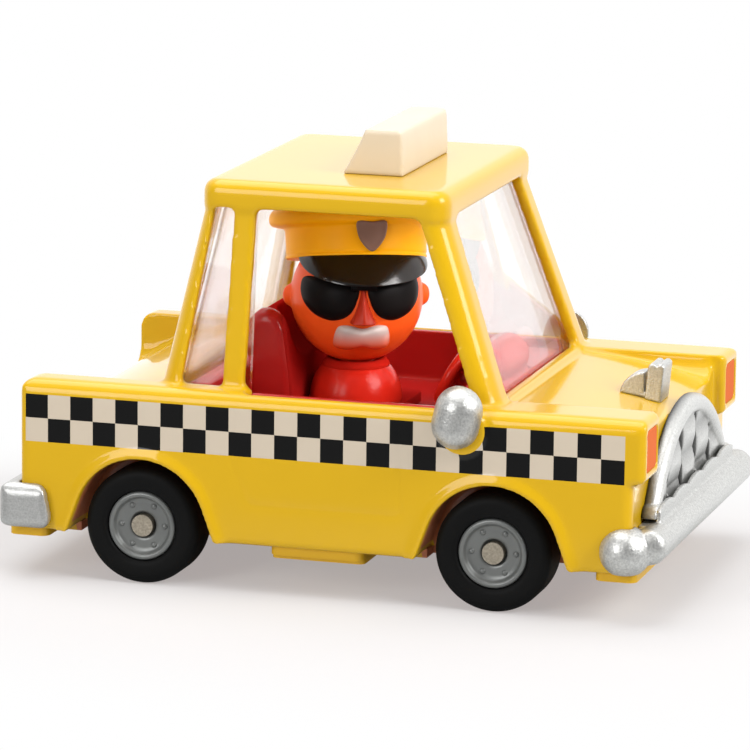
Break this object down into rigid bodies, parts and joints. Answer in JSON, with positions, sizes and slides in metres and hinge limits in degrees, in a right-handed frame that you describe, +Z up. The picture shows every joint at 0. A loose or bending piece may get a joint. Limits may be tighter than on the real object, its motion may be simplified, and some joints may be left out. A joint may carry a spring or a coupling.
{
  "type": "toy taxi",
  "caption": "Chunky die-cast toy taxi with open door windows, a seated driver whose head turns, a roof sign and free-rolling rubber-tyred wheels.",
  "frame": {"origin": "on the floor, under the middle of the car's overall length and width", "axes": "+X to the car's nose, +Y to its left side, +Z up"},
  "size_m": [0.1054, 0.0718, 0.0696],
  "materials": {
    "body_yellow": "gloss enamel",
    "base_yellow": "moulded, semi-gloss",
    "screw_steel": "zinc plated",
    "clear_pane": "clear moulded plastic",
    "interior_red": "moulded, semi-gloss",
    "seat_red": "moulded, gloss",
    "coat_red": "moulded, gloss",
    "skin_orange": "painted, gloss",
    "cap_yellow": "painted, satin",
    "gloss_black": "painted, gloss",
    "badge_grey": "painted, satin",
    "hair_grey": "painted, satin",
    "silver_paint": "metallic silver paint",
    "lamp_red": "painted, gloss",
    "sign_ivory": "moulded, satin",
    "axle_steel": "plain wire",
    "hub_grey": "moulded, satin",
    "tyre_black": "matt rubber"
  },
  "bodies": {
    "car": {"body_shell": "body_yellow", "chassis_plate": "base_yellow", "chassis_screws": "screw_steel", "windshield_glass": "clear_pane", "rear_glazing": "clear_pane", "interior_tub": "interior_red", "driver_seat": "seat_red", "steering_wheel": "seat_red", "driver_torso": "coat_red", "front_bumper": "silver_paint", "front_grille": "silver_paint", "rear_bumper": "silver_paint", "headlamp_left": "lamp_red", "headlamp_right": "lamp_red", "tail_lamp_left": "lamp_red", "tail_lamp_right": "lamp_red", "mirror_left": "silver_paint", "mirror_right": "silver_paint", "hood_ornament": "silver_paint", "roof_sign": "sign_ivory"},
    "driver_head_turning": {"driver_head": "skin_orange", "driver_cap": "cap_yellow", "cap_peak": "gloss_black", "cap_badge": "badge_grey", "sunglasses": "gloss_black", "moustache": "hair_grey"},
    "front_wheelset": {"front_axle": "axle_steel", "front_hub_left": "hub_grey", "front_tyre_left": "tyre_black", "front_hub_right": "hub_grey", "front_tyre_right": "tyre_black"},
    "rear_wheelset": {"rear_axle": "axle_steel", "rear_hub_left": "hub_grey", "rear_tyre_left": "tyre_black", "rear_hub_right": "hub_grey", "rear_tyre_right": "tyre_black"}
  },
  "joints": [
    {"name": "front_wheels_roll", "type": "hinge", "parent": "car", "child": "front_wheelset", "pos_m": [0.02605, 0, 0.00915], "axis": [0, 1, 0], "continuous": true},
    {"name": "rear_wheels_roll", "type": "hinge", "parent": "car", "child": "rear_wheelset", "pos_m": [-0.02995, 0, 0.00915], "axis": [0, 1, 0], "continuous": true},
    {"name": "head_turn", "type": "hinge", "parent": "car", "child": "driver_head_turning", "pos_m": [-0.00485, 0, 0.0415], "axis": [0, 0, 1], "range_deg": [-25, 155]}
  ]
}
